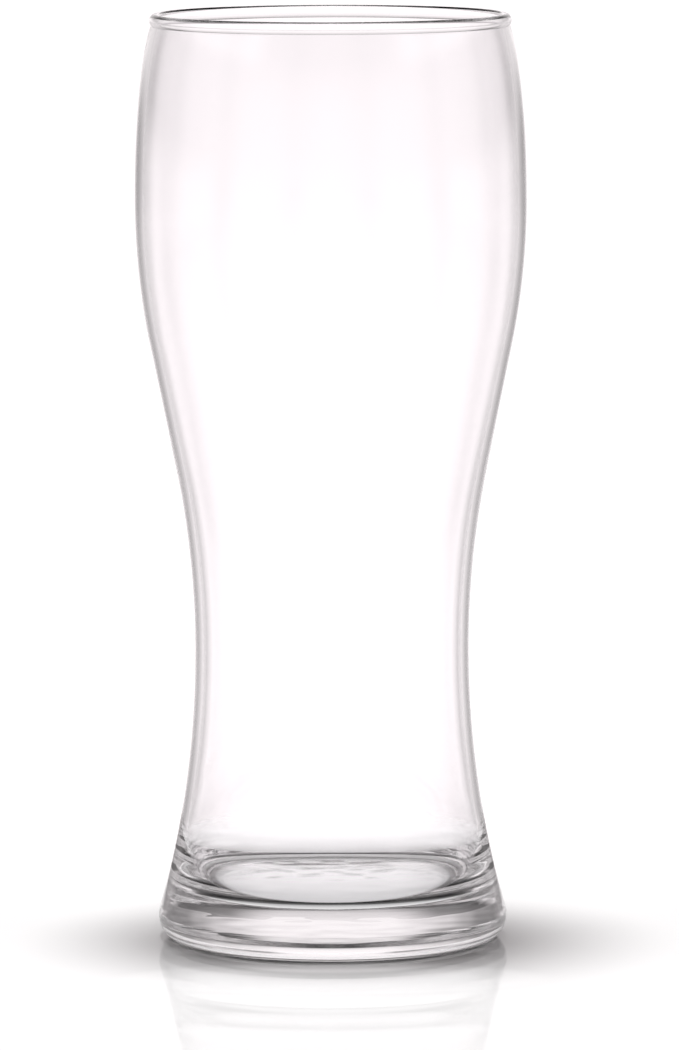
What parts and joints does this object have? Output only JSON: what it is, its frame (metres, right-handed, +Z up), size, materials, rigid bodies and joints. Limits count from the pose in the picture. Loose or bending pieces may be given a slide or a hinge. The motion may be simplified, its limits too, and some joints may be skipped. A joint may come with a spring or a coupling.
{
  "type": "beer glass",
  "caption": "Tall clear beer glass with a beaded rim, a bulged bowl, a narrow waist and a thick flared foot, for serving a half-litre pour with its head.",
  "frame": {"origin": "on the table under the middle of the foot", "axes": "+Z up along the glass's axis, from the foot to the mouth; X and Y are free, because the glass is round"},
  "size_m": [0.0803, 0.0802, 0.19],
  "materials": {
    "clear_glass": "clear fire-polished soda-lime glass"
  },
  "bodies": {
    "root": {"rim_bead": "clear_glass", "bowl": "clear_glass", "waist": "clear_glass", "foot": "clear_glass"}
  },
  "joints": []
}
